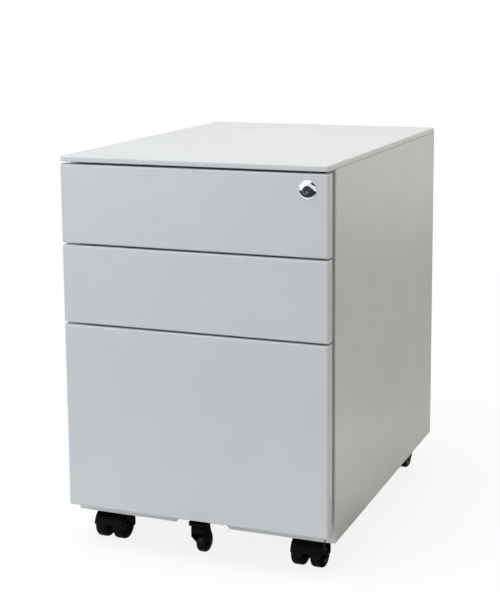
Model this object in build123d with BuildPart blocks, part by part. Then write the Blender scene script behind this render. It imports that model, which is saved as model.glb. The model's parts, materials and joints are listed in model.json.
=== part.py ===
from build123d import *
from math import cos, radians, sin
import os

os.makedirs("parts", exist_ok=True)

# Cabinet size: the origin is on the floor, the drawers open towards -Y
width = 390.0
body_depth = 557.0
height = 565.0
base_lift = 46.0

# Sheet metal and bends
sheet = 1.0
tray_sheet = 0.8
runner_sheet = 1.2
bracket_sheet = 2.0
bend = 1.6
seam_round = 0.8
lid_round = 1.4

# Clearances
running = 0.05
channel_gap = 0.4
loose = 0.3
panel_gap = 0.5

# Top panel
top_thickness = 8.0
top_corner = 4.0
top_edge = 2.5
top_rim = 14.0

# Carcass posts and flanges
post_width = 15.0
post_return = 25.0
flange = 15.0
rear_post_inset = 74.0
rear_post_face = 30.0
rear_post_foot = 10.0

# Base pan
pan_lift = 9.0
notch_width = 62.0
notch_flare = 10.0
notch_depth = 30.0

# Drawer fronts
front_depth = 15.0
grip_gap = 15.0
front_gap = 2.4
top_gap = 2.9
shallow_height = 110.5
front_drop = 16.5
front_edge = 3.0
front_corner = 2.0
front_rim = 14.0
backing_inset = 17.0
backing_margin = 6.0

# Drawer trays
tray_length = 475.0
tray_lip = 8.0
shallow_tray_lift = 12.0
shallow_tray_height = 59.0
file_tray_lift = 6.0
file_tray_height = 200.0
rear_wall_drop = 12.0

# Runners
runner_length = 450.0
runner_setback = 7.0
runner_thickness = 12.7
runner_reach = 9.5
runner_bend = 1.0
shallow_runner_height = 35.0
shallow_runner_lift = 20.0
file_runner_height = 45.0
file_runner_lift = 60.0
middle_setback = 1.8
middle_reach = 11.0
drawer_runner_setback = 3.0
file_drawer_runner_setback = 5.0

# Lock
lock_inset = 29.0
lock_drop = 32.3
bezel_radius = 12.3
bezel_stand = 3.0
bezel_edge = 0.6
bezel_dome = 9.6
lock_radius = 9.0
plug_radius = 6.0
plug_sink = 0.6
lock_length = 55.0
plug_tail = 2.0
key_slot_width = 1.8
key_slot_height = 8.0
key_slot_depth = 6.0
nut_flats = 21.0
nut_thickness = 4.0
cam_radius = 8.8
cam_thickness = 3.0
cam_pin_throw = 7.0
cam_pin_radius = 3.0
cam_pin_length = 11.0
cam_start = -45.0
lock_turn = 90.0

# Lock bar, its hooks and the drawers' catches
bar_thickness = 2.0
bar_width = 12.0
bar_inset = 3.0
bar_slot_gap = 0.5
bar_head_margin = 4.0
hook_height = 8.0
hook_gap = 1.5
hook_reach = 11.0
bar_tail = 20.0
catch_height = 9.0
catch_reach = 9.0
catch_setback = 3.0
guide_height = 14.0
guide_wall = 1.2
guide_drops = (110.0, 350.0)

# Twin-wheel casters
caster_inset = 44.0
front_caster_setback = 70.0
rear_caster_setback = 45.0
trail = 15.0
wheel_radius = 20.0
wheel_width = 18.8
wheel_round = 5.0
wheel_gap = 0.5
dish_inner = 5.5
dish_outer = 12.0
dish_depth = 2.0
axle_radius = 3.0
axle_cap = 4.5
web_thickness = 8.0
hood_width = 45.0
hood_wall = 2.0
hood_gap = 1.0
hood_round = 1.4
hood_skirt = 8.0
hood_front = 6.0
hood_brow = 4.0
boss_radius = 11.0
plate_size = 46.0
plate_thickness = 2.5
plate_corner = 5.0
king_pin_radius = 4.0
king_pin_length = 10.0

# Fifth caster, on the file drawer
fifth_setback = 21.0
fifth_clearance = 6.5
fifth_trail = 14.0
fifth_wheel_radius = 16.0
fifth_wheel_width = 15.0
fifth_wheel_round = 5.0
fifth_axle_radius = 2.5
fifth_arm = 2.2
fifth_eye = 6.0
fifth_crown = 9.0
fifth_crown_gap = 1.5
fifth_crown_reach = 10.5
fifth_cheek = 4.0
fifth_corner = 1.5
fifth_boss_radius = 9.5
fifth_plate_size = 27.0
fifth_plate_lift = 6.0
fifth_pin_length = 7.0
bracket_half = 13.0
bracket_foot = 12.0
bracket_length = 34.0

# Places that follow from the sizes
half = width / 2
back_y = (body_depth + bezel_stand) / 2
face_y = back_y - body_depth
front_back_y = face_y + front_depth
carcass_y = front_back_y + grip_gap
middle_y = (face_y + back_y) / 2
top_z = height - top_thickness
post_x = half - post_width
caster_x = half - caster_inset
tray_half = post_x - runner_thickness
tray_y = front_back_y + sheet
pan_z = base_lift + pan_lift
pan_top = pan_z + sheet
runner_y = carcass_y + runner_setback
side_mid = half - sheet / 2
post_mid = post_x + sheet / 2

# Heights of the three drawers, from the top down
shallow_tops = (height - top_thickness - top_gap,)
shallow_tops += (shallow_tops[0] - shallow_height - front_gap,)
file_top = shallow_tops[1] - shallow_height - front_gap
file_bottom = base_lift + front_drop
drawers = {
    "top": (shallow_tops[0] - shallow_height, shallow_height),
    "middle": (shallow_tops[1] - shallow_height, shallow_height),
    "bottom": (file_bottom, file_top - file_bottom),
}
tray_floors = {
    "top": drawers["top"][0] + shallow_tray_lift,
    "middle": drawers["middle"][0] + shallow_tray_lift,
    "bottom": file_bottom + file_tray_lift,
}
tray_heights = {"top": shallow_tray_height, "middle": shallow_tray_height, "bottom": file_tray_height}
runner_heights = {"top": shallow_runner_height, "middle": shallow_runner_height, "bottom": file_runner_height}
runner_lifts = {"top": shallow_runner_lift, "middle": shallow_runner_lift, "bottom": file_runner_lift}
runner_zs = {name: tray_floors[name] + runner_lifts[name] for name in drawers}
runner_tops = {name: runner_zs[name] + runner_heights[name] / 2 for name in drawers}

# Lock places
lock_x = half - lock_inset
lock_z = height - lock_drop
lock_back_y = face_y + lock_length
cam_y = lock_back_y + plug_tail
cam_back_y = cam_y + cam_thickness
cam_pin_x = lock_x + cam_pin_throw * cos(radians(cam_start))
cam_pin_z = lock_z + cam_pin_throw * sin(radians(cam_start))
bar_x = post_x + bar_inset
bar_y = cam_back_y
hook_y = bar_y + (bar_width - bar_thickness) / 2
catch_y = hook_y + bar_thickness + catch_setback

# Top panel: a folded lid with a rim turned in underneath
with BuildPart() as top_panel:
    with BuildSketch(Plane.XY.offset(top_z)):
        with Locations((0, middle_y)):
            RectangleRounded(width, body_depth, top_corner)
    extrude(amount=top_thickness)
    fillet(top_panel.faces().sort_by(Axis.Z)[-1].edges(), top_edge)
    offset(amount=-sheet, openings=top_panel.faces().sort_by(Axis.Z)[0])
    with BuildSketch(Plane.XY.offset(top_z)):
        with Locations((0, middle_y)):
            RectangleRounded(width, body_depth, top_corner)
            Rectangle(width - 2 * top_rim, body_depth - 2 * top_rim, mode=Mode.SUBTRACT)
    extrude(amount=sheet)
    fillet(top_panel.faces().sort_by(Axis.Z)[0].outer_wire().edges(), lid_round)
top_panel.part.label = "top_panel"
export_step(top_panel.part, "parts/top_panel.step")

# Side panel: one folded sheet with a front post, a rear flange and flanges at the top and the bottom
with BuildPart() as side_panel:
    with BuildSketch(Plane.XY.offset(base_lift)):
        with BuildLine():
            FilletPolyline(
                (post_mid, carcass_y + post_return),
                (post_mid, carcass_y + sheet / 2),
                (side_mid, carcass_y + sheet / 2),
                (side_mid, back_y - sheet / 2),
                (half - flange, back_y - sheet / 2),
                radius=bend,
            )
        trace(line_width=sheet)
    extrude(amount=top_z - base_lift)
    for flange_z in (base_lift, top_z - sheet):
        with BuildSketch(Plane.XY.offset(flange_z)):
            with Locations((half - flange, carcass_y + post_return)):
                flange_length = back_y - carcass_y - post_return - bend - sheet
                Rectangle(flange - sheet / 2, flange_length, align=(Align.MIN, Align.MIN))
        extrude(amount=sheet)
    fillet(side_panel.edges().filter_by(Axis.Y).group_by(Axis.X)[-1], seam_round)
side_panel.part.label = "right_side_panel"
export_step(side_panel.part, "parts/right_side_panel.step")
left_side_panel = mirror(side_panel.part, about=Plane.YZ)
left_side_panel.label = "left_side_panel"
export_step(left_side_panel, "parts/left_side_panel.step")

# Back panel: lies inside the rear flanges of the sides
back_low = base_lift + sheet + panel_gap
back_high = top_z - sheet - panel_gap
with BuildPart() as back_panel:
    with BuildSketch(Plane.XZ.offset(sheet - back_y)):
        with Locations((0, (back_low + back_high) / 2)):
            Rectangle(2 * (half - sheet - bend), back_high - back_low)
    extrude(amount=sheet)
back_panel.part.label = "back_panel"
export_step(back_panel.part, "parts/back_panel.step")

# Rear post: a hat section against the side panel, which carries the backs of the runners
rear_post_y = back_y - rear_post_inset - rear_post_face
with BuildPart() as rear_post:
    with BuildSketch(Plane.XY.offset(pan_top)):
        with BuildLine():
            FilletPolyline(
                (side_mid - sheet, rear_post_y - rear_post_foot),
                (side_mid - sheet, rear_post_y + sheet / 2),
                (post_mid, rear_post_y + sheet / 2),
                (post_mid, rear_post_y + rear_post_face - sheet / 2),
                (side_mid - sheet, rear_post_y + rear_post_face - sheet / 2),
                (side_mid - sheet, rear_post_y + rear_post_face + rear_post_foot),
                radius=bend,
            )
        trace(line_width=sheet)
    extrude(amount=top_z - sheet - pan_top)
rear_post.part.label = "right_rear_post"
export_step(rear_post.part, "parts/right_rear_post.step")
left_rear_post = mirror(rear_post.part, about=Plane.YZ)
left_rear_post.label = "left_rear_post"
export_step(left_rear_post, "parts/left_rear_post.step")

# Base pan: a tray with its rims turned down, cut out at the front for the fifth caster
pan_half = half - sheet - panel_gap
pan_back_y = back_y - 2 * sheet - panel_gap
rail_half = post_x - panel_gap
pan_side_y = carcass_y + post_return + panel_gap
notch_half = notch_width / 2
with BuildPart() as base_pan:
    with BuildSketch(Plane.XY.offset(pan_z)):
        with Locations((0, carcass_y)):
            Rectangle(2 * rail_half, pan_back_y - carcass_y, align=(Align.CENTER, Align.MIN))
        with Locations((0, pan_side_y)):
            Rectangle(2 * pan_half, pan_back_y - pan_side_y, align=(Align.CENTER, Align.MIN))
        with Locations((0, carcass_y)):
            Rectangle(notch_width, notch_depth, align=(Align.CENTER, Align.MIN), mode=Mode.SUBTRACT)
    extrude(amount=sheet)
    with BuildSketch(Plane.XZ.offset(-carcass_y)):
        with Locations((0, base_lift)):
            Rectangle(2 * rail_half, pan_top - base_lift, align=(Align.CENTER, Align.MIN))
        with BuildLine():
            Polyline(
                (-notch_half - notch_flare, base_lift),
                (-notch_half, pan_top),
                (notch_half, pan_top),
                (notch_half + notch_flare, base_lift),
                close=True,
            )
        make_face(mode=Mode.SUBTRACT)
    extrude(amount=-sheet)
    with BuildSketch(Plane.XY.offset(base_lift + sheet)):
        for side in (-1, 1):
            with Locations((side * (pan_half - sheet / 2), pan_side_y)):
                Rectangle(sheet, pan_back_y - pan_side_y, align=(Align.CENTER, Align.MIN))
        with Locations((0, pan_back_y)):
            Rectangle(2 * pan_half, sheet, align=(Align.CENTER, Align.MAX))
    extrude(amount=pan_lift)
    fillet(base_pan.edges().filter_by(Axis.X).group_by(Axis.Y)[0].group_by(Axis.Z)[-1], bend)
base_pan.part.label = "base_pan"
export_step(base_pan.part, "parts/base_pan.step")

# Drawer fronts: pans with rounded edges, a rim turned in at the back, and a hole for the lock in the top one
for name, (bottom, front_height) in drawers.items():
    front_middle = bottom + front_height / 2
    with BuildPart() as front:
        with BuildSketch(Plane.XZ.offset(-face_y)):
            with Locations((0, front_middle)):
                RectangleRounded(width, front_height, front_corner)
        extrude(amount=-front_depth)
        fillet(front.faces().sort_by(Axis.Y)[0].edges(), front_edge)
        offset(amount=-sheet, openings=front.faces().sort_by(Axis.Y)[-1])
        with BuildSketch(Plane.XZ.offset(-front_back_y)):
            with Locations((0, front_middle)):
                RectangleRounded(width, front_height, front_corner)
                Rectangle(width - 2 * front_rim, front_height - 2 * front_rim, mode=Mode.SUBTRACT)
        extrude(amount=sheet)
        if name == "top":
            with Locations(Plane.XZ.offset(-face_y) * Location((lock_x, lock_z, 0))):
                Hole(lock_radius + loose, depth=2 * front_depth)
    front.part.label = name + "_drawer_front"
    export_step(front.part, "parts/" + name + "_drawer_front.step")

    # Backing plate: closes the pan from behind and carries the tray
    with BuildPart() as backing:
        with BuildSketch(Plane.XZ.offset(-front_back_y)):
            with Locations((0, front_middle)):
                RectangleRounded(
                    width - 2 * backing_inset, front_height - 2 * backing_margin, front_corner
                )
        extrude(amount=-sheet)
        if name == "top":
            with Locations(Plane.XZ.offset(-front_back_y) * Location((lock_x, lock_z, 0))):
                Hole(lock_radius + loose, depth=2 * sheet)
    backing.part.label = name + "_drawer_backing"
    export_step(backing.part, "parts/" + name + "_drawer_backing.step")

    # Tray: a folded trough with safe edges, end walls, and a catch for the lock bar on the right
    floor_z = tray_floors[name]
    tray_top = floor_z + tray_heights[name]
    wall_x = tray_half - tray_sheet / 2
    with BuildPart() as tray:
        with BuildSketch(Plane.XZ.offset(-tray_y)):
            with BuildLine():
                FilletPolyline(
                    (tray_lip - tray_half, tray_top - tray_sheet / 2),
                    (-wall_x, tray_top - tray_sheet / 2),
                    (-wall_x, floor_z + tray_sheet / 2),
                    (wall_x, floor_z + tray_sheet / 2),
                    (wall_x, tray_top - tray_sheet / 2),
                    (tray_half - tray_lip, tray_top - tray_sheet / 2),
                    radius=bend,
                )
            trace(line_width=tray_sheet)
        extrude(amount=-tray_length)
        for wall_y, wall_drop in ((tray_y, tray_sheet), (tray_y + tray_length - tray_sheet, rear_wall_drop)):
            with BuildSketch(Plane.XZ.offset(-wall_y)):
                with Locations((0, floor_z + tray_sheet / 2)):
                    wall_height = tray_top - wall_drop - floor_z - tray_sheet / 2
                    Rectangle(2 * wall_x, wall_height, align=(Align.CENTER, Align.MIN))
                fillet(vertices().group_by(Axis.Z)[0], bend)
            extrude(amount=-tray_sheet)
        with BuildSketch(Plane.XZ.offset(-catch_y)):
            with Locations((wall_x, runner_tops[name] + hook_gap + hook_height + hook_gap)):
                Rectangle(catch_reach + tray_sheet / 2, catch_height, align=(Align.MIN, Align.MIN))
        extrude(amount=-bracket_sheet)
    tray.part.label = name + "_drawer_tray"
    export_step(tray.part, "parts/" + name + "_drawer_tray.step")

# Runners: nested channels, fixed on the posts, on the tray, and between them on the file drawer
for name in drawers:
    runner_z = runner_zs[name]
    outer_half = (runner_heights[name] - runner_sheet) / 2
    step = runner_sheet + channel_gap
    channels = {"fixed": (post_x - runner_sheet / 2, post_x - runner_reach, outer_half)}
    if name == "bottom":
        middle_x = post_x - runner_sheet - middle_setback - runner_sheet / 2
        channels["middle"] = (middle_x, post_x - middle_reach, outer_half - step)
        drawer_tip = post_x - file_drawer_runner_setback
        channels["drawer"] = (tray_half + runner_sheet / 2, drawer_tip, outer_half - 2 * step)
    else:
        drawer_tip = post_x - drawer_runner_setback
        channels["drawer"] = (tray_half + runner_sheet / 2, drawer_tip, outer_half - step)
    for member, (web_x, tip_x, half_height) in channels.items():
        with BuildPart() as channel:
            with BuildSketch(Plane.XZ.offset(-runner_y)):
                with BuildLine():
                    FilletPolyline(
                        (tip_x, runner_z + half_height),
                        (web_x, runner_z + half_height),
                        (web_x, runner_z - half_height),
                        (tip_x, runner_z - half_height),
                        radius=runner_bend,
                    )
                trace(line_width=runner_sheet)
            extrude(amount=-runner_length)
        channel.part.label = name + "_right_" + member + "_runner"
        export_step(channel.part, "parts/" + name + "_right_" + member + "_runner.step")
        left_channel = mirror(channel.part, about=Plane.YZ)
        left_channel.label = name + "_left_" + member + "_runner"
        export_step(left_channel, "parts/" + name + "_left_" + member + "_runner.step")

# Lock housing: a domed bezel and a round body through the top drawer's front
lock_axis = Axis((lock_x, 0, lock_z), (0, 1, 0))
lock_plane = Plane((lock_x, 0, lock_z), x_dir=(1, 0, 0), z_dir=(0, 0, 1))
bezel_y = face_y - bezel_stand
with BuildPart() as lock_housing:
    with BuildSketch(lock_plane):
        with BuildLine():
            Polyline(
                (plug_radius + running, bezel_y),
                (plug_radius + running, lock_back_y),
                (lock_radius, lock_back_y),
                (lock_radius, face_y),
                (bezel_radius, face_y),
                (bezel_radius, face_y - bezel_edge),
            )
            RadiusArc((bezel_radius, face_y - bezel_edge), (plug_radius + running, bezel_y), bezel_dome)
        make_face()
    revolve(axis=lock_axis)
lock_housing.part.label = "lock_housing"
export_step(lock_housing.part, "parts/lock_housing.step")

# Lock nut: a hexagon behind the backing plate
with BuildPart() as lock_nut:
    with BuildSketch(Plane.XZ.offset(-tray_y)):
        with Locations((lock_x, lock_z)):
            RegularPolygon(nut_flats / 2, 6, major_radius=False)
            Circle(lock_radius + running, mode=Mode.SUBTRACT)
    extrude(amount=-nut_thickness)
lock_nut.part.label = "lock_nut"
export_step(lock_nut.part, "parts/lock_nut.step")

# Lock plug: turns in the housing, with the keyway in its face
plug_y = bezel_y + plug_sink
with BuildPart() as lock_plug:
    with BuildSketch(Plane.XZ.offset(-plug_y)):
        with Locations((lock_x, lock_z)):
            Circle(plug_radius)
    extrude(amount=plug_y - cam_y)
    with BuildSketch(Plane.XZ.offset(-plug_y)):
        with Locations((lock_x, lock_z)):
            SlotOverall(key_slot_height, key_slot_width, rotation=90)
    extrude(amount=-key_slot_depth, mode=Mode.SUBTRACT)
lock_plug.part.label = "lock_plug"
export_step(lock_plug.part, "parts/lock_plug.step")

# Lock cam: a disc on the plug's tail, with the pin that lifts the bar
with BuildPart() as lock_cam:
    with BuildSketch(Plane.XZ.offset(-cam_y)):
        with Locations((lock_x, lock_z)):
            Circle(cam_radius)
        with Locations((cam_pin_x, cam_pin_z)):
            Circle(cam_pin_radius)
        make_hull()
    extrude(amount=-cam_thickness)
    with BuildSketch(Plane.XZ.offset(-cam_back_y)):
        with Locations((cam_pin_x, cam_pin_z)):
            Circle(cam_pin_radius)
    extrude(amount=-cam_pin_length)
lock_cam.part.label = "lock_cam"
export_step(lock_cam.part, "parts/lock_cam.step")

# Lock bar: a strip inside the right side, with a slotted head for the pin and a hook for each drawer
bar_low = runner_tops["bottom"] - bar_tail
slot_reach = cam_pin_throw * (1 - cos(radians(lock_turn / 2)))
slot_height = 2 * (cam_pin_radius + bar_slot_gap)
head_low = cam_pin_z - slot_height / 2 - bar_head_margin
head_high = cam_pin_z + slot_height / 2 + bar_head_margin
slot_left = cam_pin_x - slot_height / 2
slot_right = cam_pin_x + slot_reach + slot_height / 2
with BuildPart() as lock_bar:
    with BuildSketch(Plane.YZ.offset(bar_x)):
        with Locations((bar_y, bar_low)):
            Rectangle(bar_width, head_high - bar_low, align=(Align.MIN, Align.MIN))
    extrude(amount=bar_thickness)
    with BuildSketch(Plane.XZ.offset(-hook_y)):
        with Locations((slot_left - bar_head_margin, head_low)):
            head_width = bar_x + bar_thickness - slot_left + bar_head_margin
            Rectangle(head_width, head_high - head_low, align=(Align.MIN, Align.MIN))
        with Locations(((slot_left + slot_right) / 2, cam_pin_z)):
            SlotOverall(slot_right - slot_left, slot_height, mode=Mode.SUBTRACT)
        for name in drawers:
            with Locations((bar_x + bar_thickness, runner_tops[name] + hook_gap)):
                Rectangle(bar_thickness + hook_reach, hook_height, align=(Align.MAX, Align.MIN))
    extrude(amount=-bar_thickness)
lock_bar.part.label = "lock_bar"
export_step(lock_bar.part, "parts/lock_bar.step")

# Lock bar guides: two clips on the side panel that the bar slides in
guide_x = bar_x - loose - guide_wall
with BuildPart() as lock_bar_guides:
    for guide_drop in guide_drops:
        with BuildSketch(Plane.XY.offset(lock_z - guide_drop)):
            with Locations((guide_x, bar_y + bar_width / 2)):
                guide_depth = bar_width + 2 * (loose + guide_wall)
                Rectangle(half - sheet - guide_x, guide_depth, align=(Align.MIN, Align.CENTER))
            with Locations((bar_x + bar_thickness / 2, bar_y + bar_width / 2)):
                Rectangle(bar_thickness + 2 * loose, bar_width + 2 * loose, mode=Mode.SUBTRACT)
        extrude(amount=guide_height)
lock_bar_guides.part.label = "lock_bar_guides"
export_step(lock_bar_guides.part, "parts/lock_bar_guides.step")

# Where the four casters turn
caster_places = {
    "front_left": Location((-caster_x, face_y + front_caster_setback, 0)),
    "front_right": Location((caster_x, face_y + front_caster_setback, 0)),
    "rear_left": Location((-caster_x, back_y - rear_caster_setback, 0)),
    "rear_right": Location((caster_x, back_y - rear_caster_setback, 0)),
}

# Caster plates: screwed under the base pan, each with its king pin
plate_z = pan_z - plate_thickness
with BuildPart() as caster_plates:
    with BuildSketch(Plane.XY.offset(plate_z)):
        with Locations(*caster_places.values()):
            RectangleRounded(plate_size, plate_size, plate_corner)
    extrude(amount=plate_thickness)
    with BuildSketch(Plane.XY.offset(plate_z)):
        with Locations(*caster_places.values()):
            Circle(king_pin_radius)
    extrude(amount=-king_pin_length)
caster_plates.part.label = "caster_plates"
export_step(caster_plates.part, "parts/caster_plates.step")

# Caster hood: a fender over both wheels, a web between them and a boss on the king pin
web_half = web_thickness / 2
hood_radius = wheel_radius + hood_gap + hood_wall
hood_top = plate_z - loose
with BuildPart() as hood:
    with BuildSketch(Plane.YZ):
        with Locations((-trail, wheel_radius)):
            Circle(hood_radius)
        with Locations((-trail, wheel_radius - hood_skirt)):
            Rectangle(2 * hood_radius, hood_radius, align=(Align.CENTER, Align.MAX), mode=Mode.SUBTRACT)
        with Locations((-trail - hood_front, wheel_radius + hood_brow)):
            Rectangle(hood_radius, 2 * hood_radius, align=(Align.MAX, Align.MAX), mode=Mode.SUBTRACT)
    extrude(amount=hood_width / 2, both=True)
    hood_sides = hood.faces().filter_by(Axis.X)
    fillet(hood_sides.edges(), hood_round)
    with BuildSketch(Plane.XY.offset(wheel_radius)):
        Circle(boss_radius)
    extrude(amount=hood_top - wheel_radius)
    for side in (-1, 1):
        with BuildSketch(Plane.YZ.offset(side * web_half)):
            with Locations((-trail, wheel_radius)):
                Circle(wheel_radius + hood_gap)
        extrude(amount=side * hood_width, mode=Mode.SUBTRACT)
    with BuildSketch(Plane.YZ):
        with Locations((-trail, wheel_radius)):
            Circle(axle_radius + running)
    extrude(amount=web_thickness, both=True, mode=Mode.SUBTRACT)
    with BuildSketch(Plane.XY.offset(hood_top)):
        Circle(king_pin_radius + running)
    extrude(amount=-king_pin_length, mode=Mode.SUBTRACT)

# Caster axle: carries a wheel on each side of the web
axle_half = web_half + wheel_gap + wheel_width - axle_cap - panel_gap
with BuildPart() as axle:
    with BuildSketch(Plane.YZ.offset(-axle_half)):
        with Locations((-trail, wheel_radius)):
            Circle(axle_radius)
    extrude(amount=2 * axle_half)

# Caster wheel: a round-shouldered tread with a dished outer face and a blind bore
wheel_in = web_half + wheel_gap
wheel_out = wheel_in + wheel_width
wheel_plane = Plane((0, -trail, wheel_radius), x_dir=(1, 0, 0), z_dir=(0, -1, 0))
with BuildPart() as wheel:
    with BuildSketch(wheel_plane):
        with Locations((wheel_in, 0)):
            Rectangle(wheel_width, wheel_radius, align=(Align.MIN, Align.MIN))
        fillet(vertices().group_by(Axis.Z)[-1], wheel_round)
        with Locations((wheel_in, 0)):
            bore_length = wheel_width - axle_cap
            bore_radius = axle_radius + running
            Rectangle(bore_length, bore_radius, align=(Align.MIN, Align.MIN), mode=Mode.SUBTRACT)
        with BuildLine():
            Polyline(
                (wheel_out, dish_inner),
                (wheel_out - dish_depth, dish_inner + dish_depth),
                (wheel_out - dish_depth, dish_outer - dish_depth),
                (wheel_out, dish_outer),
                close=True,
            )
        make_face(mode=Mode.SUBTRACT)
    revolve(axis=Axis(wheel_plane.origin, (1, 0, 0)))

# The four casters
caster_pieces = {
    "hood": hood.part,
    "axle": axle.part,
    "right_wheel": wheel.part,
    "left_wheel": mirror(wheel.part, about=Plane.YZ),
}
for corner, place in caster_places.items():
    for piece, solid in caster_pieces.items():
        caster_piece = solid.moved(place)
        caster_piece.label = corner + "_caster_" + piece
        export_step(caster_piece, "parts/" + corner + "_caster_" + piece + ".step")

# Fifth caster bracket: a channel under the file drawer's tray, with its floor carried forward
fifth_y = face_y + fifth_setback
fifth_plate_z = base_lift + fifth_plate_lift
bracket_z = fifth_plate_z + plate_thickness
bracket_mid_z = bracket_z + bracket_sheet / 2
foot_mid_z = tray_floors["bottom"] - bracket_sheet / 2
bracket_front_y = fifth_y - fifth_plate_size / 2
with BuildPart() as bracket:
    with BuildSketch(Plane.XZ.offset(-tray_y)):
        with BuildLine():
            FilletPolyline(
                (-bracket_half - bracket_foot, foot_mid_z),
                (-bracket_half, foot_mid_z),
                (-bracket_half, bracket_mid_z),
                (bracket_half, bracket_mid_z),
                (bracket_half, foot_mid_z),
                (bracket_half + bracket_foot, foot_mid_z),
                radius=bend + bracket_sheet / 2,
            )
        trace(line_width=bracket_sheet)
    extrude(amount=-bracket_length)
    with BuildSketch(Plane.XY.offset(bracket_z)):
        with Locations((0, bracket_front_y)):
            tongue = tray_y - bracket_front_y + bracket_length
            Rectangle(fifth_plate_size, tongue, align=(Align.CENTER, Align.MIN))
        fillet(vertices().group_by(Axis.Y)[0], plate_corner)
    extrude(amount=bracket_sheet)
bracket.part.label = "fifth_caster_bracket"
export_step(bracket.part, "parts/fifth_caster_bracket.step")

# Fifth caster plate, with its king pin
with BuildPart() as fifth_plate:
    with BuildSketch(Plane.XY.offset(fifth_plate_z)):
        with Locations((0, fifth_y)):
            RectangleRounded(fifth_plate_size, fifth_plate_size, plate_corner)
    extrude(amount=plate_thickness)
    with BuildSketch(Plane.XY.offset(fifth_plate_z)):
        with Locations((0, fifth_y)):
            Circle(king_pin_radius)
    extrude(amount=-fifth_pin_length)
fifth_plate.part.label = "fifth_caster_plate"
export_step(fifth_plate.part, "parts/fifth_caster_plate.step")

# Fifth caster fork: a boss on the king pin, a crown, and an arm on each side of the wheel
fifth_wheel_y = fifth_y + fifth_trail
fifth_wheel_z = fifth_clearance + fifth_wheel_radius
crown_low = fifth_wheel_z + fifth_wheel_radius + fifth_crown_gap
crown_high = crown_low + fifth_crown
fork_top = fifth_plate_z - loose
arm_in = fifth_wheel_width / 2 + wheel_gap
arm_out = arm_in + fifth_arm
with BuildPart() as fork:
    with BuildSketch(Plane.YZ.offset(-arm_out)):
        with Locations((fifth_wheel_y, fifth_wheel_z)):
            Circle(fifth_eye)
        with Locations((fifth_y, crown_high)):
            cheek_height = fifth_crown + fifth_cheek
            Rectangle(2 * fifth_crown_reach, cheek_height, align=(Align.CENTER, Align.MAX))
        make_hull()
    extrude(amount=2 * arm_out)
    fillet(fork.edges().filter_by(Axis.Z), fifth_corner)
    with BuildSketch(Plane.YZ.offset(-arm_in)):
        with Locations((fifth_wheel_y, crown_low)):
            reach = 2 * fifth_wheel_radius + 2 * fifth_trail
            Rectangle(2 * reach, reach, align=(Align.CENTER, Align.MAX))
    extrude(amount=2 * arm_in, mode=Mode.SUBTRACT)
    with BuildSketch(Plane.XY.offset(crown_low)):
        with Locations((0, fifth_y)):
            Circle(fifth_boss_radius)
    extrude(amount=fork_top - crown_low)
    with BuildSketch(Plane.YZ):
        with Locations((fifth_wheel_y, fifth_wheel_z)):
            Circle(fifth_axle_radius + running)
    extrude(amount=2 * arm_out, both=True, mode=Mode.SUBTRACT)
    with BuildSketch(Plane.XY.offset(fork_top)):
        with Locations((0, fifth_y)):
            Circle(king_pin_radius + running)
    extrude(amount=-fifth_pin_length, mode=Mode.SUBTRACT)
fork.part.label = "fifth_caster_fork"
export_step(fork.part, "parts/fifth_caster_fork.step")

# Fifth caster axle
with BuildPart() as fifth_axle:
    with BuildSketch(Plane.YZ.offset(-arm_out)):
        with Locations((fifth_wheel_y, fifth_wheel_z)):
            Circle(fifth_axle_radius)
    extrude(amount=2 * arm_out)
fifth_axle.part.label = "fifth_caster_axle"
export_step(fifth_axle.part, "parts/fifth_caster_axle.step")

# Fifth caster wheel
with BuildPart() as fifth_wheel:
    with BuildSketch(Plane.YZ.offset(-fifth_wheel_width / 2)):
        with Locations((fifth_wheel_y, fifth_wheel_z)):
            Circle(fifth_wheel_radius)
    extrude(amount=fifth_wheel_width)
    fillet(fifth_wheel.edges().filter_by(GeomType.CIRCLE), fifth_wheel_round)
    with BuildSketch(Plane.YZ):
        with Locations((fifth_wheel_y, fifth_wheel_z)):
            Circle(fifth_axle_radius + running)
    extrude(amount=fifth_wheel_width, both=True, mode=Mode.SUBTRACT)
fifth_wheel.part.label = "fifth_caster_wheel"
export_step(fifth_wheel.part, "parts/fifth_caster_wheel.step")
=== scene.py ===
import json
import math
from itertools import product
import bpy
from mathutils import Matrix, Vector


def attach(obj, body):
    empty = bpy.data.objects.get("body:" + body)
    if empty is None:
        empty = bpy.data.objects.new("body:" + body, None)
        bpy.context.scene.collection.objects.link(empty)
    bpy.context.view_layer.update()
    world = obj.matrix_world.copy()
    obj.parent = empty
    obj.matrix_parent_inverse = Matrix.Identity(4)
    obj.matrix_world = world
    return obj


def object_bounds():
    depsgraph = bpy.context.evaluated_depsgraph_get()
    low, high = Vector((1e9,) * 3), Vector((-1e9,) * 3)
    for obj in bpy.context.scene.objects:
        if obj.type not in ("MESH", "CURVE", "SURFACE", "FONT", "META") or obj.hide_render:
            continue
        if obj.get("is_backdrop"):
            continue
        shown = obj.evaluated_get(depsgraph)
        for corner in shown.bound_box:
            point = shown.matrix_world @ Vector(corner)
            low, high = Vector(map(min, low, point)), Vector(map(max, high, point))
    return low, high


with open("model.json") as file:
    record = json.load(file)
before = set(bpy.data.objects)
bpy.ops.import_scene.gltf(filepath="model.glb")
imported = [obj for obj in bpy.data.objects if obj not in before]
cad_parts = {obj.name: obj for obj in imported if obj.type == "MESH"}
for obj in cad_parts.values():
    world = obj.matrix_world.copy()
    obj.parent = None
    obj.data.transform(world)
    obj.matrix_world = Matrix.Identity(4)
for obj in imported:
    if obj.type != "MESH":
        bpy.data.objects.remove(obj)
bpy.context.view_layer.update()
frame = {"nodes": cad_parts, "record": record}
nodes = frame["nodes"]
print("frame loaded,", len(nodes), "nodes")

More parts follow.
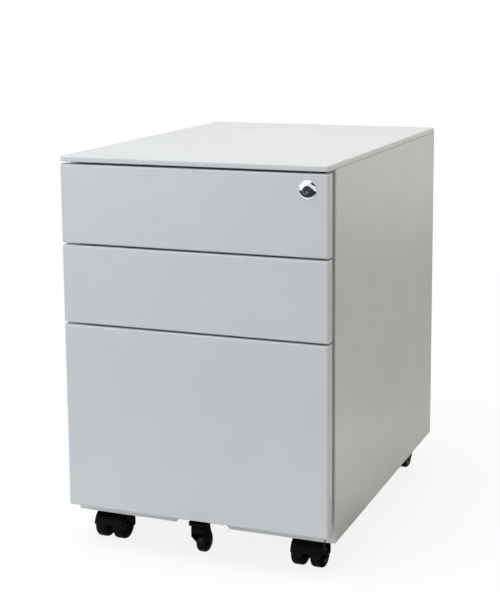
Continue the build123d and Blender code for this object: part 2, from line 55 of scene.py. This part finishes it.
# camera, matched to the straight edges in the photo; the frame is 500 x 600
photoCamera = {
    "place": (0.7415, -1.9463, 0.7767),
    "yaw": 0.3740,  # radians to the left of +Y
    "pitch": 0.1623,  # radians down
    "roll": -0.0079,
    "lens": 83.07,  # mm
    "sensor": 36,  # mm, the long side of the frame
    "shiftY": -0.125,
    "clipEnd": 100,
}


def addCamera(setup):
    camera = bpy.data.objects.new("photoCamera", bpy.data.cameras.new("photoCamera"))
    bpy.context.scene.collection.objects.link(camera)
    turn = Matrix.Rotation(setup["yaw"], 4, "Z")
    turn = turn @ Matrix.Rotation(math.pi / 2 - setup["pitch"], 4, "X")
    turn = turn @ Matrix.Rotation(setup["roll"], 4, "Z")
    camera.matrix_world = Matrix.Translation(setup["place"]) @ turn
    camera.data.lens = setup["lens"]
    camera.data.sensor_width = setup["sensor"]
    camera.data.shift_y = setup["shiftY"]
    camera.data.clip_end = setup["clipEnd"]
    bpy.context.scene.camera = camera


addCamera(photoCamera)
bpy.context.scene.view_settings.view_transform = "Standard"
print("camera placed")


def hexColour(text):
    channels = [int(text[i:i + 2], 16) / 255 for i in (1, 3, 5)]
    linear = [c / 12.92 if c <= 0.04045 else ((c + 0.055) / 1.055) ** 2.4 for c in channels]
    return (*linear, 1.0)


def addNode(tree, kind, links=None, **settings):
    node = tree.nodes.new(kind)
    for name, value in settings.items():
        setattr(node, name, value)
    for socket, source in (links or {}).items():
        if isinstance(source, bpy.types.NodeSocket):
            tree.links.new(source, node.inputs[socket])
        else:
            node.inputs[socket].default_value = source
    return node


def newMaterial(name):
    material = bpy.data.materials.new(name)
    material.use_nodes = True
    tree = material.node_tree
    shader = tree.nodes["Principled BSDF"]
    place = addNode(tree, "ShaderNodeTexCoord").outputs["Object"]
    return material, tree, shader, place


# how many of a pattern's waves fit in a metre, from its size in millimetres
def perMetre(millimetres):
    return 1000 / millimetres


# powder coat on steel, sprayed and baked: an even pale grey with a soft sheen and a fine orange peel
powderCoat = {
    "colour": "#c6c8c9",
    "shade": "#bfc1c2",
    "roughness": (0.30, 0.38),
    "cloud": 90,  # mm, thick and thin patches of the spray
    "peel": 2.2,  # mm between the bumps
    "peelHeight": 0.00016,  # metres, drawn deeper than it is so that it shows
    "peelStrength": 0.8,
}


def makePowderCoat(name, look):
    material, tree, shader, place = newMaterial(name)
    cloud = addNode(tree, "ShaderNodeTexNoise", {
        "Vector": place, "Scale": perMetre(look["cloud"]), "Detail": 2.0})
    tint = addNode(tree, "ShaderNodeMix", {
        "Factor": cloud.outputs["Fac"], "A": hexColour(look["colour"]), "B": hexColour(look["shade"])},
        data_type="RGBA")
    tree.links.new(tint.outputs["Result"], shader.inputs["Base Color"])
    low, high = look["roughness"]
    sheen = addNode(tree, "ShaderNodeMapRange", {
        "Value": cloud.outputs["Fac"], "To Min": low, "To Max": high})
    tree.links.new(sheen.outputs["Result"], shader.inputs["Roughness"])
    peel = addNode(tree, "ShaderNodeTexNoise", {
        "Vector": place, "Scale": perMetre(look["peel"]), "Detail": 1.0})
    bump = addNode(tree, "ShaderNodeBump", {
        "Height": peel.outputs["Fac"], "Strength": look["peelStrength"], "Distance": look["peelHeight"]})
    tree.links.new(bump.outputs["Normal"], shader.inputs["Normal"])
    return material


innerCoat = dict(powderCoat, colour="#c0c2c3", shade="#b8babb")
finishes = {
    "cabinet_paint": makePowderCoat("lightGreyPowderCoat", powderCoat),
    "inner_paint": makePowderCoat("innerGreyPowderCoat", innerCoat),
}

# zinc plate on rolled steel: a cool grey metal with faint lines along the rolling
zincPlate = {
    "colour": "#b9bcc0",
    "streak": "#a4a8ad",
    "roughness": (0.28, 0.42),
    "line": 0.8,  # mm between the lines
    "length": 60,  # mm along a line
}


def makeZinc(name, look):
    material, tree, shader, place = newMaterial(name)
    stretch = addNode(tree, "ShaderNodeMapping", {
        "Vector": place, "Scale": (1, look["line"] / look["length"], 1)})
    lines = addNode(tree, "ShaderNodeTexNoise", {
        "Vector": stretch.outputs["Vector"], "Scale": perMetre(look["line"]), "Detail": 3.0})
    tint = addNode(tree, "ShaderNodeMix", {
        "Factor": lines.outputs["Fac"], "A": hexColour(look["colour"]), "B": hexColour(look["streak"])},
        data_type="RGBA")
    tree.links.new(tint.outputs["Result"], shader.inputs["Base Color"])
    low, high = look["roughness"]
    rough = addNode(tree, "ShaderNodeMapRange", {
        "Value": lines.outputs["Fac"], "To Min": low, "To Max": high})
    tree.links.new(rough.outputs["Result"], shader.inputs["Roughness"])
    shader.inputs["Metallic"].default_value = 1.0
    return material


lockZinc = dict(zincPlate, roughness=(0.34, 0.48))
turnedSteel = dict(zincPlate, colour="#8f9296", streak="#7d8084")
finishes["runner_zinc"] = makeZinc("zincPlatedRunner", zincPlate)
finishes["lock_zinc"] = makeZinc("zincPlatedLockParts", lockZinc)
finishes["axle_steel"] = makeZinc("turnedSteel", turnedSteel)

# chrome plate on zinc die casting: near mirror, with the faintest haze from polishing
chromePlate = {
    "colour": "#e4e6e8",
    "roughness": (0.054, 0.135),
    "haze": 0.7,  # mm, size of the hazy spots
}


def makeChrome(name, look):
    material, tree, shader, place = newMaterial(name)
    haze = addNode(tree, "ShaderNodeTexNoise", {
        "Vector": place, "Scale": perMetre(look["haze"]), "Detail": 2.0})
    low, high = look["roughness"]
    rough = addNode(tree, "ShaderNodeMapRange", {
        "Value": haze.outputs["Fac"], "To Min": low, "To Max": high})
    tree.links.new(rough.outputs["Result"], shader.inputs["Roughness"])
    shader.inputs["Base Color"].default_value = hexColour(look["colour"])
    shader.inputs["Metallic"].default_value = 1.0
    return material


plugChrome = dict(chromePlate, colour="#cfd1d2", roughness=(0.036, 0.09))
finishes["lock_chrome"] = makeChrome("polishedChrome", chromePlate)
finishes["plug_chrome"] = makeChrome("plugChrome", plugChrome)

# nylon and black paint, moulded or dipped: near black, with a fine grain that breaks the highlights
blackNylon = {
    "colour": "#06090b",
    "scuff": "#0c1012",
    "scuffed": (0.5, 0.8),  # where in the pattern the scuffs begin and are full
    "roughness": (0.37, 0.57),
    "gloss": 0.04,
    "patch": 14,  # mm, size of the scuffs
    "grain": 0.9,  # mm between the bumps
    "grainHeight": 0.00003,  # metres
    "grainStrength": 0.25,
}


def makeNylon(name, look):
    material, tree, shader, place = newMaterial(name)
    patch = addNode(tree, "ShaderNodeTexNoise", {
        "Vector": place, "Scale": perMetre(look["patch"]), "Detail": 4.0})
    start, full = look["scuffed"]
    worn = addNode(tree, "ShaderNodeMapRange", {
        "Value": patch.outputs["Fac"], "From Min": start, "From Max": full})
    tint = addNode(tree, "ShaderNodeMix", {
        "Factor": worn.outputs["Result"], "A": hexColour(look["colour"]), "B": hexColour(look["scuff"])},
        data_type="RGBA")
    tree.links.new(tint.outputs["Result"], shader.inputs["Base Color"])
    low, high = look["roughness"]
    rough = addNode(tree, "ShaderNodeMapRange", {
        "Value": patch.outputs["Fac"], "To Min": low, "To Max": high})
    tree.links.new(rough.outputs["Result"], shader.inputs["Roughness"])
    shader.inputs["Specular IOR Level"].default_value = look["gloss"]
    grain = addNode(tree, "ShaderNodeTexNoise", {
        "Vector": place, "Scale": perMetre(look["grain"]), "Detail": 1.0})
    bump = addNode(tree, "ShaderNodeBump", {
        "Height": grain.outputs["Fac"], "Strength": look["grainStrength"], "Distance": look["grainHeight"]})
    tree.links.new(bump.outputs["Normal"], shader.inputs["Normal"])
    return material


wheelNylon = dict(blackNylon, colour="#05080a", roughness=(0.16, 0.36), gloss=0.09)
dippedSteel = dict(blackNylon, colour="#080b0d", roughness=(0.40, 0.60))
finishes["caster_plastic"] = makeNylon("blackNylonHood", blackNylon)
finishes["wheel_plastic"] = makeNylon("blackNylonWheel", wheelNylon)
finishes["caster_plate_steel"] = makeNylon("blackDippedSteel", dippedSteel)

for part in frame["record"]["subparts"]:
    node = nodes[part["node"]]
    node.data.materials.clear()
    node.data.materials.append(finishes[part["material_slot"]])
print("finishes on the frame,", len(finishes))

mm = 0.001  # metres
bothSides = (-1, 1)


# selects the edges whose two ends are wanted, and stays in edit mode
def selectEdges(piece, wanted):
    bpy.ops.object.mode_set(mode="EDIT")
    bpy.ops.mesh.select_mode(type="EDGE")
    bpy.ops.mesh.select_all(action="DESELECT")
    bpy.ops.object.mode_set(mode="OBJECT")
    for edge in piece.data.edges:
        edge.select = all(wanted(piece.data.vertices[v].co) for v in edge.vertices)
    bpy.ops.object.mode_set(mode="EDIT")


# a copy with its own mesh, its face turned from +Z towards the way it looks
def putCopy(source, name, place, facing, body, slot):
    piece = source.copy()
    piece.data = source.data.copy()
    piece.name = name
    turn = Vector((0, 0, 1)).rotation_difference(Vector(facing)).to_matrix().to_4x4()
    piece.data.transform(Matrix.Translation([c * mm for c in place]) @ turn)
    bpy.context.scene.collection.objects.link(piece)
    piece.data.materials.clear()
    piece.data.materials.append(finishes[slot])
    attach(piece, body)


# a round head with a domed rim, lying on z = 0
def makeDome(name, look):
    bpy.ops.object.select_all(action="DESELECT")
    tall = look["height"] * mm
    bpy.ops.mesh.primitive_cylinder_add(
        vertices=look["sides"], radius=look["radius"] * mm, depth=tall, location=(0, 0, tall / 2))
    head = bpy.context.object
    head.name = name
    bpy.ops.object.transform_apply(location=True, rotation=True, scale=True)
    selectEdges(head, lambda point: point.z > tall / 2)
    bpy.ops.mesh.bevel(offset=look["dome"] * mm, segments=look["steps"], profile=0.5)
    bpy.ops.object.mode_set(mode="OBJECT")
    return head


# pan-head screw with a cross recess
screw = {
    "radius": 3.5, "height": 2.0, "dome": 1.2,  # mm, dome is the rounding of the rim
    "recess": 1.1, "blade": 0.9, "span": 4.2,  # mm, depth, width and length of the cross
    "sides": 24, "steps": 4,
    "smooth": 40,  # degrees, sharper edges stay sharp
}


def makeScrew(look):
    head = makeDome("screwPattern", look)
    for turn in (0, math.pi / 2):
        bpy.ops.object.select_all(action="DESELECT")
        bpy.ops.mesh.primitive_cube_add(size=1, location=(0, 0, look["height"] * mm), rotation=(0, 0, turn))
        blade = bpy.context.object
        blade.scale = (look["span"] * mm, look["blade"] * mm, 2 * look["recess"] * mm)
        bpy.ops.object.transform_apply(location=True, rotation=True, scale=True)
        bpy.ops.object.select_all(action="DESELECT")
        head.select_set(True)
        bpy.context.view_layer.objects.active = head
        bpy.ops.object.modifier_add(type="BOOLEAN")
        cut = head.modifiers[-1]
        cut.object = blade
        cut.operation = "DIFFERENCE"
        bpy.ops.object.modifier_apply(modifier=cut.name)
        bpy.data.objects.remove(blade)
    bpy.ops.object.shade_smooth_by_angle(angle=math.radians(look["smooth"]))
    return head


# rivets and weld marks are low round domes
rivet = {"radius": 3.2, "height": 1.0, "dome": 0.9, "sides": 20, "steps": 4, "smooth": 50}
weldMark = {"radius": 2.6, "height": 0.35, "dome": 0.315, "sides": 20, "steps": 4, "smooth": 50}


def makeButton(name, look):
    button = makeDome(name, look)
    bpy.ops.object.shade_smooth_by_angle(angle=math.radians(look["smooth"]))
    return button


# where the fasteners sit, in millimetres
fastenerPlaces = {
    "casterX": 151.0,
    "casterY": (-207.0, 235.0),
    "plateZ": 52.5,
    "plateSpread": 17.0,
    "trayFrontY": -260.2,
    "trayScrewX": 118.0,
    "trayScrewZ": {"top": (470.0, 499.0), "middle": (357.0, 386.0), "bottom": (96.0, 240.0)},
    "trayWallX": 166.5,
    "runnerZ": {"top": 475.6, "middle": 362.7, "bottom": 128.5},
    "rivetY": (-205.0, -15.0, 175.0),
    "weldX": 187.0,
    "weldY": 280.0,
    "weldZ": (78.0, 167.0, 256.0, 345.0, 434.0, 523.0),
}


def addFasteners(at):
    count = 0
    pattern = makeScrew(screw)
    for side, y, dx, dy in product(bothSides, at["casterY"], bothSides, bothSides):
        count += 1
        spot = (side * at["casterX"] + dx * at["plateSpread"], y + dy * at["plateSpread"], at["plateZ"])
        putCopy(pattern, f"casterPlateScrew{count}", spot, (0, 0, -1), "cabinet", "runner_zinc")
    for drawer, heights in at["trayScrewZ"].items():
        for side, z in product(bothSides, heights):
            count += 1
            spot = (side * at["trayScrewX"], at["trayFrontY"], z)
            putCopy(pattern, f"{drawer}FrontScrew{count}", spot, (0, 1, 0), f"{drawer}_drawer", "runner_zinc")
    bpy.data.objects.remove(pattern)

    pattern = makeButton("rivetPattern", rivet)
    for drawer, z in at["runnerZ"].items():
        for side, y in product(bothSides, at["rivetY"]):
            count += 1
            spot = (side * at["trayWallX"], y, z)
            name = f"{drawer}RunnerRivet{count}"
            putCopy(pattern, name, spot, (-side, 0, 0), f"{drawer}_drawer", "runner_zinc")
    bpy.data.objects.remove(pattern)

    pattern = makeButton("weldPattern", weldMark)
    for side, z in product(bothSides, at["weldZ"]):
        count += 1
        spot = (side * at["weldX"], at["weldY"], z)
        putCopy(pattern, f"backSpotWeld{count}", spot, (0, 1, 0), "cabinet", "cabinet_paint")
    bpy.data.objects.remove(pattern)
    print("fasteners,", count)


addFasteners(fastenerPlaces)

# floor and room: white where the camera, a mirror or glass looks at them
studio = {
    "floorSize": 60,
    "floorColour": "#f4f4f4",
    "floorRoughness": 0.9,
    "floorGlow": 0.86,  # how white the floor is by itself, the rest takes the shadow
    "floorFade": (0.7, 2.2),  # metres, where the floor goes over into the plain background
    "mirrorFade": (0.42, 0.95),  # metres, nearer than this reflections show the shaded floor itself
    "roomLow": 0.22,  # light from the horizon
    "roomHigh": 0.66,  # light from straight above
    "roomLeft": "#f3f7ff",  # daylight on the left, warmer and dimmer on the right
    "roomRight": "#fdefdb",
    "roomDim": 0.33,
}


# which rays look straight at the background; mirrorShare is how much of a reflection counts
def straightRays(tree, mirrorShare):
    path = addNode(tree, "ShaderNodeLightPath")
    mirrored = addNode(tree, "ShaderNodeMath", {
        0: path.outputs["Is Glossy Ray"], 1: mirrorShare}, operation="MULTIPLY")
    direct = addNode(tree, "ShaderNodeMath", {
        0: path.outputs["Is Camera Ray"], 1: mirrored.outputs["Value"]}, operation="MAXIMUM")
    seen = addNode(tree, "ShaderNodeMath", {
        0: direct.outputs["Value"], 1: path.outputs["Is Transmission Ray"]}, operation="MAXIMUM")
    return seen.outputs["Value"]


def addFloor(setup):
    bpy.ops.object.select_all(action="DESELECT")
    bpy.ops.mesh.primitive_plane_add(size=setup["floorSize"], location=(0, 0, 0))
    floor = bpy.context.object
    floor.name = "paleFloor"
    material, tree, shader, place = newMaterial("whitePaperFloor")
    shader.inputs["Base Color"].default_value = hexColour(setup["floorColour"])
    shader.inputs["Roughness"].default_value = setup["floorRoughness"]
    shader.inputs["Specular IOR Level"].default_value = 0.0
    reach = addNode(tree, "ShaderNodeVectorMath", {0: place}, operation="LENGTH")
    near, far = setup["floorFade"]
    white = addNode(tree, "ShaderNodeMapRange", {
        "Value": reach.outputs["Value"], "From Min": near, "From Max": far,
        "To Min": setup["floorGlow"], "To Max": 1.0}, interpolation_type="SMOOTHSTEP")
    near, far = setup["mirrorFade"]
    away = addNode(tree, "ShaderNodeMapRange", {
        "Value": reach.outputs["Value"], "From Min": near, "From Max": far})
    share = addNode(tree, "ShaderNodeMath", {
        0: straightRays(tree, away.outputs["Result"]), 1: white.outputs["Result"]}, operation="MULTIPLY")
    glow = addNode(tree, "ShaderNodeEmission", {"Strength": 1.0})
    mixed = addNode(tree, "ShaderNodeMixShader", {
        0: share.outputs["Value"], 1: shader.outputs["BSDF"], 2: glow.outputs["Emission"]})
    tree.links.new(mixed.outputs["Shader"], tree.nodes["Material Output"].inputs["Surface"])
    floor.data.materials.append(material)
    floor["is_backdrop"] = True


def addRoom(setup):
    world = bpy.data.worlds.new("whiteRoom")
    bpy.context.scene.world = world
    world.use_nodes = True
    tree = world.node_tree
    way = addNode(tree, "ShaderNodeTexCoord").outputs["Generated"]  # the way a ray leaves the scene
    heading = addNode(tree, "ShaderNodeSeparateXYZ", {"Vector": way})
    sky = addNode(tree, "ShaderNodeMapRange", {
        "Value": heading.outputs["Z"], "To Min": setup["roomLow"], "To Max": setup["roomHigh"]})
    across = addNode(tree, "ShaderNodeMapRange", {
        "Value": heading.outputs["X"], "From Min": -1.0, "From Max": 1.0})
    dim = addNode(tree, "ShaderNodeMapRange", {
        "Value": across.outputs["Result"], "To Min": 1.0, "To Max": setup["roomDim"]})
    light = addNode(tree, "ShaderNodeMath", {
        0: sky.outputs["Result"], 1: dim.outputs["Result"]}, operation="MULTIPLY")
    tint = addNode(tree, "ShaderNodeMix", {
        "Factor": across.outputs["Result"],
        "A": hexColour(setup["roomLeft"]), "B": hexColour(setup["roomRight"])}, data_type="RGBA")
    room = addNode(tree, "ShaderNodeBackground", {
        "Color": tint.outputs["Result"], "Strength": light.outputs["Value"]})
    white = tree.nodes["Background"]
    white.inputs["Color"].default_value = (1, 1, 1, 1)
    white.inputs["Strength"].default_value = 1.0
    both = addNode(tree, "ShaderNodeMixShader", {
        0: straightRays(tree, 1.0), 1: room.outputs["Background"], 2: white.outputs["Background"]})
    tree.links.new(both.outputs["Shader"], tree.nodes["World Output"].inputs["Surface"])


# place and size in metres, power in watts; glare is False where the lamp would shine back from the top panel
softboxes = {
    "topSoftbox": {"place": (-0.5, -0.7, 3.0), "power": 64, "size": 2.6, "tint": "#f8feff", "glare": True},
    "frontSoftbox": {"place": (-2.3, -3.2, 1.3), "power": 72, "size": 3.0, "tint": "#f3f6ff", "glare": True},
    "sideSoftbox": {"place": (1.25, 0.1, 1.55), "power": 8, "size": 0.8, "tint": "#fcf4e2", "glare": True},
    "backSoftbox": {"place": (-0.75, 3.0, 0.85), "power": 30, "size": 1.6, "tint": "#ffffff", "glare": False},
}


def addSoftbox(name, box):
    lamp = bpy.data.lights.new(name, "AREA")
    lamp.energy = box["power"]
    lamp.size = box["size"]
    lamp.color = hexColour(box["tint"])[:3]
    softbox = bpy.data.objects.new(name, lamp)
    bpy.context.scene.collection.objects.link(softbox)
    softbox.location = box["place"]
    softbox.visible_glossy = box["glare"]
    lowest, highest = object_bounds()
    middle = (lowest + highest) / 2
    softbox.rotation_euler = (middle - Vector(box["place"])).to_track_quat("-Z", "Y").to_euler()


# dark cloths in the studio, and by the right front caster a dark sheet of painted shade on the floor, in
# metres, each with its far edge hung up: only reflections see them
darkCloths = {
    "frontCloth": {"x": (-3.6, 1.9), "y": (-4.4, -0.66), "z": 0.004, "rise": 0.42, "tone": "#3a3a3b"},
    "sideCloth": {"x": (0.3, 1.9), "y": (0.45, 2.6), "z": 0.004, "rise": 0.02, "tone": "#b4b4b4"},
    # painted shade: a dark sheet on the floor beside the right front caster, so that the wheel's outer face
    # reflects shade
    "casterPaintedShade": {"x": (0.17, 0.262), "y": (-0.27, 0.02), "z": 0.002, "rise": 0.001, "tone": "#2a2a2b"},
    "upperCloth": {"x": (0.5, 3.2), "y": (-2.6, -1.0), "z": 1.9, "rise": 0.1, "tone": "#4a4a4b"},
    "ceilingBeam": {"x": (-2.6, 0.3), "y": (-1.75, -1.4), "z": 1.9, "rise": 0.1, "tone": "#5a5a5b"},
}


def addCloth(name, spot):
    bpy.ops.object.select_all(action="DESELECT")
    middle = (sum(spot["x"]) / 2, sum(spot["y"]) / 2, spot["z"])
    bpy.ops.mesh.primitive_plane_add(size=1, location=middle)
    cloth = bpy.context.object
    cloth.name = name
    cloth.scale = (spot["x"][1] - spot["x"][0], spot["y"][1] - spot["y"][0], 1)
    bpy.ops.object.transform_apply(location=True, rotation=True, scale=True)
    selectEdges(cloth, lambda point: abs(point.y) > abs(middle[1]))
    bpy.ops.mesh.extrude_region_move(TRANSFORM_OT_translate={"value": (0, 0, spot["rise"])})
    bpy.ops.object.mode_set(mode="OBJECT")
    material, tree, shader, place = newMaterial(name + "Felt")
    shader.inputs["Base Color"].default_value = hexColour(spot["tone"])
    shader.inputs["Roughness"].default_value = 1.0
    shader.inputs["Specular IOR Level"].default_value = 0.0
    cloth.data.materials.append(material)
    cloth.visible_camera = False
    cloth.visible_diffuse = False
    cloth.visible_shadow = False
    cloth.visible_transmission = False
    cloth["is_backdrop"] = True


addFloor(studio)
addRoom(studio)
for name, box in softboxes.items():
    addSoftbox(name, box)
for name, spot in darkCloths.items():
    addCloth(name, spot)
print("studio lit")
